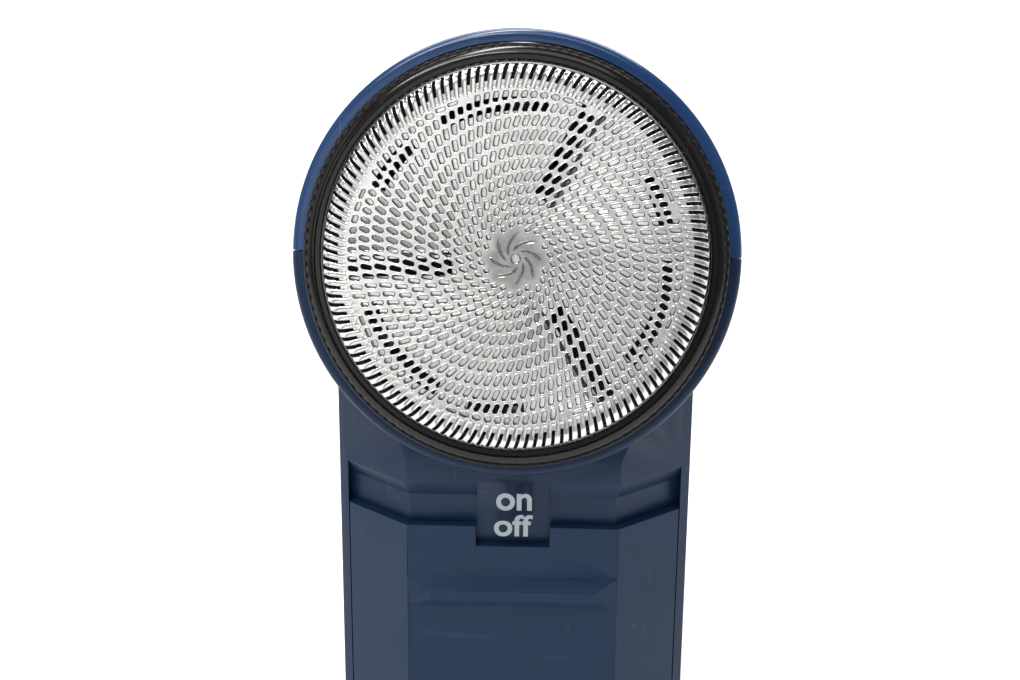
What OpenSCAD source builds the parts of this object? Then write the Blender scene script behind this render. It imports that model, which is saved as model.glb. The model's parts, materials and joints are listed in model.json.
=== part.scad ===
// Battery fabric shaver: a round shaving head on a chamfered handle.
// Millimetres, +Z up. The shaver stands on the flat end of its handle, and the
// origin is the middle of that end. The foil faces the front, which is -Y.

/* [Handle] */
// Width of the handle across its sides
handle_w = 55; // [50:0.5:62]
// Depth of the handle from front to back
handle_d = 30; // [28:0.5:34]
// Width of the flat front and back facets
facet_w = 33; // [32.5:0.5:36]
// Depth that each side chamfer takes from the front and from the back
chamfer_d = 8.2; // [6:0.1:10]
// Wall of the handle shells
wall = 1.8; // [1.4:0.1:2.2]

/* [Head] */
// Outside diameter of the head
head_dia = 68; // [66:0.5:76]
// Depth of the head from its front rim to its back
head_depth = 30; // [29:0.5:36]
// Height of the head centre above the foot of the handle
head_z = 106; // [102:1:130]
// How far the head centre lies behind the front facet
head_inset = 8; // [6:0.5:11]
// Angle that the foil leans back from upright
face_tilt = 18; // [12:1:24]
// Wall of the head
head_wall = 1.95; // [1.6:0.05:2.2]

/* [Foil and ring] */
// Height of the foil face above the head rim
foil_rise = 7; // [6:0.1:8]
// Thickness of the foil
foil_t = 0.3; // [0.2:0.05:0.4]
// Outside diameter of the foil cap
foil_dia = 57.6; // [56:0.1:58]
// Outside diameter of the retaining ring
ring_dia = 63.8; // [63.2:0.1:64]
// Slots cut over the shoulder of the foil
shoulder_slots = 128; // [64:8:128]
// Width of one shoulder slot
shoulder_slot_w = 0.58; // [0.4:0.02:0.7]
// Spiral rows of openings in the face of the foil
spiral_rows = 8; // [6:1:8]
// Openings in one spiral row
row_openings = 56; // [20:1:60]

/* [Rotor] */
// Diameter of the blade carrier
rotor_dia = 53; // [50:0.5:54]
// Thickness of the blade carrier
rotor_t = 2; // [1.5:0.1:2.2]
// Thickness of each blade
blade_t = 0.5; // [0.4:0.05:0.7]
// Gap between the blades and the foil
blade_gap = 0.1; // [0.05:0.05:0.3]

/* [Motor] */
// Diameter of the motor can
motor_dia = 20; // [18:0.5:21]
// Width of the can across its two flats
motor_flat = 15.2; // [13:0.1:16]
// Length of the can
motor_l = 22; // [20:0.5:23]
// Diameter of the motor shaft
shaft_dia = 2; // [1.5:0.1:2.3]

/* [Thumb slider] */
// Height of the slider's upper edge when it is off
slider_top = 63.5; // [62:0.5:65]
// Length of the slider
slider_l = 41.5; // [38:0.5:44]
// Thickness of the slider
slider_t = 1.5; // [1.2:0.1:1.8]
// Travel of the slider from off to on
slider_travel = 4.4; // [3:0.1:5]

/* [Battery] */
// Diameter of one cell
cell_dia = 14.2; // [14:0.1:14.5]
// Length of one cell with its button
cell_l = 50.5; // [49.5:0.1:50.5]

/* [Fits] */
// Clearance between parts that move past each other
run_gap = 0.15; // [0.1:0.05:0.25]
// Clearance between parts that are fixed together
fit_gap = 0.1; // [0.05:0.05:0.2]

/* [Hidden] */

$fn = 64;
tiny = 0.01;
navy = [0.16, 0.23, 0.34];
half_w = handle_w / 2;
half_d = handle_d / 2;
half_facet = facet_w / 2;
head_r = head_dia / 2;
chamfer_w = half_w - half_facet;
chamfer_l = norm([chamfer_w, chamfer_d]);
head_y = head_inset - half_d;
split_y = 3;
seam_gap = 0.1;
// The handle's prism stops this far below the head's middle and behind its rim
handle_stop = 12;
handle_step = 2;

// Levels along the head axis, measured from the plane of the head rim
ring_r = ring_dia / 2;
rim_bore_r = ring_r + run_gap;
foil_r = foil_dia / 2;
flange_r = foil_r + 1.4;
cup_rim_z = 2;
cup_floor_t = 1.5;
cup_r = ring_r - 0.9;
blade_top = foil_rise - foil_t - blade_gap;
carrier_top = blade_top - 0.8;
carrier_bottom = carrier_top - rotor_t;
hub_foot = 1.1;
hub_r = 5;
motor_front = -cup_floor_t;
can_back = motor_front - motor_l;
cap_t = 3;
cap_back = can_back - cap_t;
motor_boss_r = 3;
cover_gap = 1.2;
cover_t = 1.4;
cover_r = motor_dia / 2 + cover_gap + cover_t;
bin_wall = 1.4;
bin_gap = 0.3;
back_inner = head_wall - head_depth;
back_round = 5;
shoulder = 1.6;
face_limit = 24.95;
web = 0.46;
row_end = 11.1;
blade_angles = [62, 182, 302];
blade_lean = 35;
blade_in = 9;
blade_l = rotor_dia / 2 - blade_in - 1;
blade_foot = 0.6;
blade_h = (blade_top - carrier_bottom - 1.5 * blade_foot) / cos(blade_lean);
hub_top_r = 3;
window_r = 21.8;
window_w = 2.1;
cup_window_r = 14;
cup_window_w = 12;
cup_window_sweep = 58;
cup_window_angles = [28, 94];

// Slider and its recess in the front shell
slider_floor_y = slider_t + run_gap - half_d;
slider_half_w = half_w - 1.5;
slider_bottom = slider_top - slider_l;
notch_w = 11.5;
notch_d = 3.5;
tongue_w = notch_w - 0.4;
ramp_low = slider_top + slider_travel + 0.3;
ramp_high = ramp_low + 3.3;
tongue_low = slider_top + 1;
tongue_high = ramp_high - 0.7;
rib_z = slider_top - 11.75;
rib_h = 1.4;
rib_foot = 5.3;
rib_crest = 1.8;
rib_foot_w = facet_w - 0.6;
rib_crest_w = facet_w - 7;
lug_half_w = 2.5;
lug_l = 6;
leg_x = 10;
leg_w = 3;
leg_t = 1.4;
leg_heights = [slider_bottom + 6, slider_top - 9];
barb = 1;
wall_back_y = slider_floor_y + wall;
lever_w = 2.4;

// Switch behind the front wall
switch_l = 20;
switch_w = 7;
switch_d = 4.6;
switch_y = wall_back_y + 1.4;
switch_z = rib_z + slider_travel / 2;
switch_post_z = [switch_z - switch_l / 2 - 2.6, switch_z + switch_l / 2 + 2.6];

// Battery compartment
cell_r = cell_dia / 2;
cell_x = cell_r + 0.5;
cell_y = half_d - wall - cell_r - 0.6;
tray_t = 1.2;
tray_half_w = cell_x + cell_r + 0.3;
tray_bottom = 4.3;
contact_t = 0.4;
spring_l = 3.8;
spring_foot_r = 4;
spring_tip_r = 2.6;
spring_turns = 3;
plate_w = 12;
tray_l = cell_l + spring_l + 2 * contact_t + 0.4;
tray_top = tray_bottom + tray_t + tray_l;
tray_floor_y = cell_y - cell_r - 0.5;
tray_lid = tray_top + tray_t;
contact_low = tray_bottom + tray_t + contact_t;
contact_high = tray_top - contact_t;
door_half_w = half_facet - 1.1;
door_low = 5;
door_high = tray_lid;
door_t = wall - 0.2;

// Screws
screw_r = 1.1;
screw_head_r = 2;
screw_head_t = 1.5;
boss_r = 3.1;
boss_x = half_facet + 3.8;
boss_seat_y = split_y + 2.4;
boss_heights = [12, 71];
small_screw_r = 0.9;
cup_screw_r = 24.5;
cup_screw_angles = [215, 270, 325];
motor_screw_x = 6;
small_head_r = 1.6;
small_head_t = 0.8;
gusset_w = 5.2;
gusset_h = 7;
wire_r = 0.6;
wire_y = tray_floor_y - tray_t - wire_r - 0.3;

// A point of the head's own frame, given in the shaver's frame
function head_point(p) = [
  p[0],
  head_y + p[1] * sin(face_tilt) - p[2] * cos(face_tilt),
  head_z + p[1] * cos(face_tilt) + p[2] * sin(face_tilt)
];

// Points of an arc in a plane
function arc(cx, cy, r, from, to, steps) =
  [for (i = [0 : steps]) let (a = from + (to - from) * i / steps) [cx + r * cos(a), cy + r * sin(a)]];

function unit(v) = v / norm(v);

// Axis of a route at one of its points
function along(points, i) = unit(points[min(i + 1, len(points) - 1)] - points[max(i - 1, 0)]);

// A round rod that follows the points; side is a direction never along the route
module rod(points, r, side, sides = 8) {
  n = len(points);
  rings = [for (i = [0 : n - 1])
    let (t = along(points, i), u = unit(cross(t, side)), v = cross(u, t))
    for (k = [0 : sides - 1]) points[i] + r * (u * cos(360 * k / sides) + v * sin(360 * k / sides))];
  walls = [for (i = [0 : n - 2]) for (k = [0 : sides - 1]) let (m = (k + 1) % sides)
    [i * sides + k, i * sides + m, (i + 1) * sides + m, (i + 1) * sides + k]];
  ends = [[for (k = [sides - 1 : -1 : 0]) k], [for (k = [0 : sides - 1]) (n - 1) * sides + k]];
  polyhedron(rings, concat(walls, ends), convexity = 6);
}

// A conical spring that stands on its wide end
module spring(r_low, r_high, h, turns) {
  steps = turns * 14;
  rod([for (i = [0 : steps]) let (a = 360 * turns * i / steps, r = r_low + (r_high - r_low) * i / steps)
    [r * cos(a), r * sin(a), h * i / steps]], 0.3, [0, 0, 1], 6);
}

// Places children in the frame of the head: foil outwards is +Z, away from the handle is +Y
module in_head() {
  translate([0, head_y, head_z]) rotate([90 - face_tilt, 0, 0]) children();
}

// Chamfered outline of the handle, taken in by inset all round
module handle_outline(inset) {
  facet_x = half_facet - inset * (chamfer_l - chamfer_w) / chamfer_d;
  side_y = half_d - chamfer_d - inset * (chamfer_l - chamfer_d) / chamfer_w;
  front = half_d - inset;
  side = half_w - inset;
  polygon([
    [-facet_x, -front], [facet_x, -front], [side, -side_y], [side, side_y],
    [facet_x, front], [-facet_x, front], [-side, side_y], [-side, -side_y]
  ]);
}

// Handle prism, stopped below the rim and below the joint of the lint container
module handle_solid(inset, low) {
  intersection() {
    translate([0, 0, low]) linear_extrude(head_z) handle_outline(inset);
    union() {
      translate([-head_dia, -head_dia, -tiny]) cube([2 * head_dia, 2 * head_dia, head_z / 2]);
      in_head() translate([-head_dia, -head_dia - handle_stop, -2 * head_dia - handle_step - inset])
        cube([2 * head_dia, head_dia, 2 * head_dia]);
    }
  }
}

// Profile of the head about its axis: back edge rounded, front open or closed at front_z
module head_profile(r, inset, front_z, front_round) {
  back_arc = arc(head_r - back_round, back_round - head_depth, back_round - inset, -90, 0, 6);
  front_arc = front_round > 0
    ? arc(r - front_round, front_z - front_round, front_round, 0, 90, 4)
    : [[r, front_z]];
  polygon(concat([[0, inset - head_depth]], back_arc, front_arc, [[0, front_z]]));
}

module head_solid() {
  rotate_extrude($fn = 96) head_profile(head_r, 0, 0, 1.1);
}

module head_hollow() {
  rotate_extrude($fn = 96) head_profile(rim_bore_r, head_wall, foil_rise, 0);
}

// Half space on the handle side (-1) or the lint side (+1) of the head's middle
module head_half(side) {
  translate([-head_dia, side > 0 ? run_gap : -2 * head_dia - run_gap, -2 * head_dia])
    cube([2 * head_dia, 2 * head_dia, 4 * head_dia]);
}

// Everything that the front and rear shells share, before they are split
module shells() {
  difference() {
    union() {
      handle_solid(0, 0);
      in_head() intersection() {
        head_solid();
        head_half(-1);
      }
    }
    handle_solid(wall, wall);
    in_head() head_hollow();
  }
}

module before_split(gap) {
  translate([-head_dia, split_y - gap - 2 * head_dia, -head_dia])
    cube([2 * head_dia, 2 * head_dia, 4 * head_dia]);
}

module after_split(gap) {
  translate([-head_dia, split_y + gap, -head_dia]) cube([2 * head_dia, 2 * head_dia, 4 * head_dia]);
}

// Strip between two insets of the front facet and its chamfers
module front_strip(outer, inner, reach, low, high) {
  intersection() {
    translate([0, 0, low]) linear_extrude(high - low) difference() {
      handle_outline(outer);
      handle_outline(inner);
    }
    translate([-reach, -handle_d, low - 1])
      cube([2 * reach, handle_d - half_d + chamfer_d + 1, high - low + 2]);
  }
}

// Cuts the slider's recess into one front facet, the middle one (0) or a chamfer (-1, +1),
// with a ramp up to the surface at its upper end. The ramps on the chamfers end a little lower.
module recess_cut(side) {
  over = 0.6;
  depth = slider_t + run_gap;
  foot = slider_bottom - 2;
  low = ramp_low - (side == 0 ? 0 : 0.15);
  high = ramp_high - (side == 0 ? 0 : 0.6);
  translate([side * half_facet, -half_d, 0]) rotate([0, 0, side * atan2(chamfer_d, chamfer_w)])
    translate([side * chamfer_l / 2, 0, 0]) rotate([90, 0, 90])
      linear_extrude((side == 0 ? facet_w : chamfer_l) + 2 * over, center = true)
        polygon([[depth, foot], [depth, low], [-depth, 2 * high - low], [-depth, foot]]);
}

module slider_recess() {
  reach = slider_half_w + run_gap;
  intersection() {
    for (side = [-1, 0, 1]) recess_cut(side);
    translate([-reach, -handle_d, slider_bottom - run_gap]) cube([2 * reach, handle_d, ramp_high]);
  }
}

// Raised tongue that the arms of the slider pass
module tongue() {
  slope = [-half_d, tongue_high] - [slider_floor_y, tongue_low];
  rotate([90, 0, 90]) linear_extrude(tongue_w, center = true) polygon([
    [slider_floor_y, tongue_low], [slider_floor_y, tongue_low] + 1.3 * slope,
    [-half_d - 1, ramp_high + 1], [slider_floor_y + 1, ramp_high + 1], [slider_floor_y + 1, tongue_low]
  ]);
}

// Slots in the front wall for the drive lug and for the slider's hooks
module slider_slots() {
  for (x = [-leg_x, leg_x]) for (z = leg_heights)
    translate([x - leg_w / 2 - run_gap, -half_d, z - leg_t / 2 - run_gap])
      cube([leg_w + 2 * run_gap, wall_back_y + half_d + 1, leg_t + slider_travel + 2 * run_gap]);
  translate([-lug_half_w - run_gap, -half_d, rib_z - lug_l / 2 - run_gap])
    cube([2 * (lug_half_w + run_gap), wall_back_y + half_d + 1, lug_l + slider_travel + 2 * run_gap]);
}

module front_boss(z) {
  translate([0, split_y - seam_gap, z]) rotate([90, 0, 0])
    cylinder(h = half_d + split_y - seam_gap, r = boss_r);
}

module cup_gusset() {
  translate([cup_screw_r - gusset_w / 2, -gusset_w / 2, motor_front - gusset_h])
    cube([head_r - 1 - cup_screw_r + gusset_w / 2, gusset_w, gusset_h]);
}

module switch_post(z) {
  translate([0, switch_y, z]) rotate([90, 0, 0]) cylinder(h = switch_y + half_d - 1, r = 2);
}

module front_housing() {
  color(navy) difference() {
    union() {
      intersection() {
        shells();
        before_split(seam_gap);
      }
      front_strip(0, slider_t + run_gap + wall, half_w - wall / 2, slider_bottom - 3, ramp_high + 1);
      intersection() {
        for (x = [-boss_x, boss_x]) for (z = boss_heights) translate([x, 0, 0]) front_boss(z);
        handle_solid(wall / 2, wall / 2);
      }
      in_head() for (a = cup_screw_angles) rotate([0, 0, a]) cup_gusset();
      for (z = switch_post_z) switch_post(z);
    }
    difference() {
      slider_recess();
      tongue();
    }
    slider_slots();
    for (x = [-boss_x, boss_x]) for (z = boss_heights)
      translate([x, split_y + 1, z]) rotate([90, 0, 0]) cylinder(h = 11, r = screw_r);
    in_head() for (a = cup_screw_angles) rotate([0, 0, a])
      translate([cup_screw_r, 0, motor_front - 6]) cylinder(h = 7, r = small_screw_r);
    for (z = switch_post_z) translate([0, switch_y + 1, z]) rotate([90, 0, 0])
      cylinder(h = 3.2, r = small_screw_r);
  }
}

module rear_housing() {
  color(navy) difference() {
    union() {
      intersection() {
        shells();
        after_split(0);
      }
      intersection() {
        for (x = [-boss_x, boss_x]) for (z = boss_heights)
          translate([x, half_d, z]) rotate([90, 0, 0]) cylinder(h = half_d - split_y, r = boss_r);
        handle_solid(wall / 2, wall / 2);
      }
    }
    translate([-door_half_w - run_gap, half_d - wall - 1, door_low - run_gap])
      cube([2 * (door_half_w + run_gap), wall + 2, door_high - door_low + 2 * run_gap]);
    for (x = [-boss_x, boss_x]) for (z = boss_heights) translate([x, half_d + 1, z]) rotate([90, 0, 0]) {
      cylinder(h = handle_d, r = screw_r + fit_gap);
      cylinder(h = half_d + 1 - boss_seat_y, r = screw_head_r + 0.2);
    }
  }
}

// Pan-head screw: its seat is at the origin and the shank runs along -Z
module screw(head_radius, head_height, r, l) {
  difference() {
    union() {
      cylinder(h = head_height, r = head_radius);
      translate([0, 0, -l]) cylinder(h = l + tiny, r = r);
    }
    for (a = [0, 90]) rotate([0, 0, a]) translate([-head_radius * 0.6, -0.2, head_height - 0.6])
      cube([head_radius * 1.2, 0.4, 1]);
  }
}

module housing_screws() {
  color("silver") for (x = [-boss_x, boss_x]) for (z = boss_heights)
    translate([x, boss_seat_y, z]) rotate([-90, 0, 0]) screw(screw_head_r, screw_head_t, screw_r, 10);
}

module lint_container() {
  bin_r = cover_r + bin_gap;
  color([0.18, 0.33, 0.55]) in_head() difference() {
    union() {
      intersection() {
        difference() {
          head_solid();
          head_hollow();
        }
        head_half(1);
      }
      translate([0, 0, back_inner - tiny]) linear_extrude(motor_front - bin_gap - back_inner) intersection() {
        union() {
          circle(r = bin_r + bin_wall);
          translate([-rim_bore_r - tiny, bin_gap]) square([2 * rim_bore_r, bin_wall]);
        }
        circle(r = rim_bore_r + tiny);
        translate([-head_r, bin_gap]) square([2 * head_r, head_r]);
      }
    }
    difference() {
      translate([0, 0, back_inner]) cylinder(h = head_depth, r = bin_r);
      head_half(-1);
    }
  }
}

module motor_cover() {
  back = back_inner + fit_gap;
  color([0.12, 0.13, 0.15]) in_head() difference() {
    intersection() {
      union() {
        translate([0, 0, back]) cylinder(h = motor_front - back, r = cover_r);
        translate([-rim_bore_r + fit_gap, -run_gap - cover_t, back])
          cube([2 * (rim_bore_r - fit_gap), cover_t, motor_front - back]);
      }
      translate([-head_r, -run_gap - cover_t, back - 1]) cube([head_dia, head_r, head_depth]);
      rotate_extrude($fn = 96) head_profile(rim_bore_r - fit_gap, head_wall + fit_gap, motor_front, 0);
    }
    translate([0, 0, cap_back - 0.4]) cylinder(h = head_depth, r = cover_r - cover_t);
  }
}

module cutter_cup() {
  color([0.1, 0.1, 0.11]) in_head() difference() {
    union() {
      translate([0, 0, motor_front]) cylinder(h = cup_floor_t, r = cup_r);
      translate([0, 0, motor_front]) difference() {
        cylinder(h = cup_rim_z + cup_floor_t - 0.05, r = cup_r);
        translate([0, 0, -1]) cylinder(h = head_depth, r = foil_r - 1);
      }
    }
    translate([0, 0, -5]) cylinder(h = 10, r = motor_boss_r + fit_gap);
    for (a = cup_window_angles) rotate([0, 0, a]) translate([0, 0, motor_front - 1])
      rotate_extrude(angle = cup_window_sweep) translate([cup_window_r, 0])
        square([cup_window_w, cup_floor_t + 2]);
    for (a = cup_screw_angles) rotate([0, 0, a]) translate([cup_screw_r, 0, -5])
      cylinder(h = 10, r = small_screw_r + fit_gap);
    for (x = [-motor_screw_x, motor_screw_x]) translate([x, 0, -5])
      cylinder(h = 10, r = small_screw_r + fit_gap);
  }
}

module cup_screws() {
  color("silver") in_head() for (a = cup_screw_angles) rotate([0, 0, a])
    translate([cup_screw_r, 0, 0]) screw(small_head_r, small_head_t, small_screw_r, 6);
}

module motor_screws() {
  color("silver") in_head() for (x = [-motor_screw_x, motor_screw_x])
    translate([x, 0, 0]) screw(small_head_r, small_head_t, small_screw_r, 3.5);
}

module retaining_ring() {
  lip_low = cup_rim_z + foil_t + 0.1;
  lip_r = foil_r + 0.35;
  color([0.08, 0.08, 0.08]) in_head() rotate_extrude($fn = 128) polygon(concat(
    [[lip_r, lip_low], [cup_r + run_gap, lip_low], [cup_r + run_gap, 0.3 - cup_floor_t],
      [ring_r, 0.3 - cup_floor_t]],
    [[ring_r, 0.9]],
    arc(ring_r - 0.9, 3.1, 0.9, 0, 60, 4),
    [[lip_r + 1, 4.5], [lip_r, 4.3]]
  ));
}

// Wall of the foil cap: face, rounded shoulder, skirt and seat flange
module foil_wall() {
  rotate_extrude($fn = 128) polygon(concat(
    [[0, foil_rise - foil_t], [foil_r - shoulder, foil_rise - foil_t]],
    arc(foil_r - shoulder, foil_rise - shoulder, shoulder - foil_t, 90, 0, 5),
    [[foil_r - foil_t, cup_rim_z], [flange_r, cup_rim_z], [flange_r, cup_rim_z + foil_t]],
    [[foil_r, cup_rim_z + foil_t]],
    arc(foil_r - shoulder, foil_rise - shoulder, shoulder, 0, 90, 5),
    [[0, foil_rise]]
  ));
}

// Radius of a spiral row, t sectors after its start at the edge of the face
function row_r(t) = 6 * ln(1 + exp((25.7 - 2.25 * t) / 6)) - 1.1 * exp(-t / 0.45);

// Middle of the web between a row and the next one in, at t on the outer row
function between_rows(t) = (row_r(t) + row_r(t + 1)) / 2;

// Inner and outer radius of the opening at t. The first ones are short and grow along the row
function opening_in(t) = max(between_rows(t) + web / 2, t < 1 ? row_r(t) - opening_half(t) : 0);
function opening_out(t) = t < 1 ? min(face_limit, row_r(t) + opening_half(t))
  : between_rows(t - 1) - web / 2;
function opening_half(t) = 0.34 + 0.85 * pow(t, 0.8);

// Width of the opening at t, wide at the start of the row, and its lean from the radius
function opening_w(t) = 0.72 + 0.8 * exp(-pow(t / 0.3, 2));
function opening_lean(t) = min(40, 8 + 215 / row_r(t)) * min(1, t / 0.4);

module foil() {
  color("gainsboro") in_head() difference() {
    foil_wall();
    for (i = [0 : shoulder_slots - 1]) rotate([0, 0, 360 * i / shoulder_slots])
      translate([foil_r - 1.35, 0, foil_rise - 1]) rotate([0, 0, -16])
        cube([4.2, shoulder_slot_w, 3], center = true);
    for (row = [0 : spiral_rows - 1]) for (i = [0 : row_openings - 1]) {
      t = row_end * pow(i / (row_openings - 1), 1.05);
      rotate([0, 0, 23 + 360 / spiral_rows * (row + t)])
        translate([(opening_in(t) + opening_out(t)) / 2, 0, foil_rise]) rotate([0, 0, -opening_lean(t)])
          cube([(opening_out(t) - opening_in(t)) / cos(opening_lean(t)), opening_w(t), 2], center = true);
    }
  }
}

// Strip blade on edge, tilted backwards, with its foot in the carrier
module blade(angle, spare) {
  rotate([0, 0, angle]) translate([blade_in, 0, carrier_bottom + blade_foot - spare])
    rotate([blade_lean, 0, 0])
    translate([0, -blade_t / 2 - spare, 0])
      cube([blade_l, blade_t + 2 * spare, blade_h + spare]);
}

// Window through the carrier along an arc
module carrier_window(from, sweep) {
  rotate([0, 0, from]) translate([0, 0, carrier_bottom - 1])
    rotate_extrude(angle = sweep) translate([window_r, 0]) square([window_w, rotor_t + 2]);
}

module blade_carrier() {
  color("white") in_head() difference() {
    translate([0, 0, carrier_bottom]) cylinder(h = rotor_t, r = rotor_dia / 2);
    translate([0, 0, carrier_bottom - 1]) cylinder(h = rotor_t + 2, r = hub_top_r);
    for (a = blade_angles) {
      blade(a, 0.03);
      rotate([0, 0, a]) translate([blade_in + 0.5, -0.2, carrier_bottom - 1])
        cube([blade_l - 1, 2.6, rotor_t + 2]);
      carrier_window(a + 17, 41);
      carrier_window(a + 71, 21);
    }
  }
}

module one_blade(i) {
  color("silver") in_head() intersection() {
    blade(blade_angles[i], 0);
    translate([0, 0, carrier_bottom]) cylinder(h = blade_top - carrier_bottom, r = rotor_dia / 2);
  }
}

module rotor_hub() {
  color("white") in_head() difference() {
    union() {
      translate([0, 0, hub_foot]) cylinder(h = carrier_bottom - hub_foot, r = hub_r);
      translate([0, 0, carrier_bottom - tiny]) cylinder(h = rotor_t, r = hub_top_r - fit_gap / 4);
    }
    translate([0, 0, -1]) cylinder(h = carrier_top - 0.5 + 1, r = shaft_dia / 2);
  }
}

module motor_shaft() {
  color("silver") in_head() translate([0, 0, motor_front - 0.9])
    cylinder(h = carrier_top - 0.8 - motor_front + 0.9, r = shaft_dia / 2 - tiny);
}

module motor_can() {
  color("silver") in_head() difference() {
    union() {
      intersection() {
        translate([0, 0, can_back]) cylinder(h = motor_l, r = motor_dia / 2);
        translate([-motor_dia, -motor_flat / 2, can_back]) cube([2 * motor_dia, motor_flat, motor_l]);
      }
      translate([0, 0, motor_front]) cylinder(h = cup_floor_t, r = motor_boss_r);
    }
    translate([0, 0, motor_front - 1]) cylinder(h = 4, r = shaft_dia / 2 + 0.04);
    for (x = [-motor_screw_x, motor_screw_x]) translate([x, 0, motor_front - 4])
      cylinder(h = 5, r = small_screw_r);
  }
}

module motor_end_cap() {
  color([0.9, 0.9, 0.85]) in_head() intersection() {
    translate([0, 0, cap_back]) cylinder(h = cap_t, r = motor_dia / 2 - 0.6);
    translate([-motor_dia, 0.6 - motor_flat / 2, cap_back]) cube([2 * motor_dia, motor_flat - 1.2, cap_t]);
  }
}

module motor_terminals() {
  color("gold") in_head() for (x = [-4, 4]) translate([x - 1, -5.5, cap_back - 1.2]) cube([2, 0.4, 1.2]);
}

module thumb_slider() {
  barb_y = wall_back_y + run_gap;
  color(navy) difference() {
    union() {
      front_strip(0, slider_t, slider_half_w, slider_bottom, slider_top);
      translate([0, slider_t - half_d, rib_z]) intersection() {
        rotate([90, 0, 90]) linear_extrude(facet_w, center = true)
          polygon([[-1, -rib_foot / 2], [-slider_t, -rib_foot / 2], [-slider_t - rib_h, -rib_crest / 2],
            [-slider_t - rib_h, rib_crest / 2], [-slider_t, rib_foot / 2], [-1, rib_foot / 2]]);
        linear_extrude(rib_foot + 1, center = true)
          polygon([[-rib_foot_w / 2, 0], [-rib_foot_w / 2, -slider_t],
            [-rib_crest_w / 2, -slider_t - rib_h],
            [rib_crest_w / 2, -slider_t - rib_h], [rib_foot_w / 2, -slider_t], [rib_foot_w / 2, 0]]);
      }
      translate([-lug_half_w, slider_t - half_d - tiny, rib_z - lug_l / 2])
        cube([2 * lug_half_w, wall_back_y - slider_t + half_d, lug_l]);
      for (side = [-1, 1]) for (z = leg_heights) translate([side * leg_x, 0, z - leg_t / 2]) {
        translate([-leg_w / 2, slider_t - half_d - tiny, 0])
          cube([leg_w, barb_y + barb - slider_t + half_d, leg_t]);
        translate([-leg_w / 2 - barb, barb_y, 0]) cube([leg_w + 2 * barb, barb, leg_t]);
      }
    }
    translate([-notch_w / 2, -half_d - 1, slider_top - notch_d]) cube([notch_w, slider_t + 2, notch_d + 1]);
    translate([-lever_w / 2 - fit_gap, slider_t - half_d - 0.6, rib_z - lever_w / 2 - fit_gap])
      cube([lever_w + 2 * fit_gap, half_d, lever_w + 2 * fit_gap]);
  }
}

module switch_body() {
  color([0.15, 0.15, 0.16]) difference() {
    union() {
      translate([-switch_w / 2, switch_y, switch_z - switch_l / 2]) cube([switch_w, switch_d, switch_l]);
      translate([-2.4, switch_y, switch_z - switch_l / 2 - 5]) cube([4.8, 0.8, switch_l + 10]);
    }
    translate([-lever_w / 2 - run_gap, switch_y - 1, rib_z - lever_w / 2 - run_gap - 1])
      cube([lever_w + 2 * run_gap, 4, lever_w + slider_travel + 2 * run_gap + 2]);
    for (z = switch_post_z) translate([0, switch_y + 2, z]) rotate([90, 0, 0])
      cylinder(h = 4, r = small_screw_r + fit_gap);
  }
}

module switch_screws() {
  color("silver") for (z = switch_post_z) translate([0, switch_y + 0.8, z]) rotate([-90, 0, 0])
    screw(1.5, 0.8, small_screw_r, 2.6);
}

module switch_lever() {
  front = slider_t - half_d - 0.4;
  color("white") translate([-lever_w / 2, front, rib_z - lever_w / 2])
    cube([lever_w, switch_y + 2.6 - front, lever_w]);
}

module switch_terminals() {
  color("gold") for (z = [-6, 0, 6]) translate([-0.2, switch_y + switch_d, switch_z + z - 0.8])
    cube([0.4, 0.9, 1.6]);
}

module battery_tray() {
  outer_w = tray_half_w + tray_t;
  rim_y = cell_y + cell_r - 0.6;
  color([0.12, 0.12, 0.13]) difference() {
    translate([-outer_w, tray_floor_y - tray_t, tray_bottom])
      cube([2 * outer_w, rim_y - tray_floor_y + tray_t, tray_lid - tray_bottom]);
    translate([-tray_half_w, tray_floor_y, tray_bottom + tray_t])
      cube([2 * tray_half_w, handle_d, tray_top - tray_bottom - tray_t]);
    for (x = [-cell_x, cell_x]) translate([x - 1.2, cell_y - 0.4, tray_top - 1])
      cube([2.4, 0.8, tray_t + 2]);
  }
}

// Cell that stands on its flat end
module cell() {
  button_l = 1.2;
  cylinder(h = cell_l - button_l, r = cell_r);
  translate([0, 0, cell_l - button_l - tiny]) cylinder(h = button_l + tiny, r = 2.7);
}

module cell_left() {
  color([0.75, 0.55, 0.25]) translate([-cell_x, cell_y, contact_high - cell_l - fit_gap / 2]) cell();
}

module cell_right() {
  color([0.75, 0.55, 0.25]) translate([cell_x, cell_y, contact_low + cell_l + fit_gap / 2])
    rotate([180, 0, 0]) cell();
}

module contact_plate(x, z) {
  translate([x - plate_w / 2, cell_y - plate_w / 2, z]) cube([plate_w, plate_w, contact_t]);
}

// Tab that leads a contact out through the lid of the tray
module contact_tab(x) {
  translate([x - 1, cell_y - 0.2, contact_high]) cube([2, 0.4, tray_lid + 1.6 - contact_high]);
}

module positive_contact() {
  color("silver") {
    contact_plate(-cell_x, contact_high);
    contact_tab(-cell_x);
  }
}

module negative_contact() {
  color("silver") {
    contact_plate(cell_x, contact_high);
    contact_tab(cell_x);
    translate([cell_x, cell_y, contact_high + 0.2]) rotate([180, 0, 0])
      spring(spring_foot_r, spring_tip_r, spring_l + 0.1, spring_turns);
  }
}

module bridge_contact() {
  color("silver") {
    translate([-cell_x - plate_w / 2, cell_y - plate_w / 2, contact_low - contact_t])
      cube([2 * cell_x + plate_w, plate_w, contact_t]);
    translate([-cell_x, cell_y, contact_low - 0.2])
      spring(spring_foot_r, spring_tip_r, spring_l + 0.1, spring_turns);
  }
}

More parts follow.
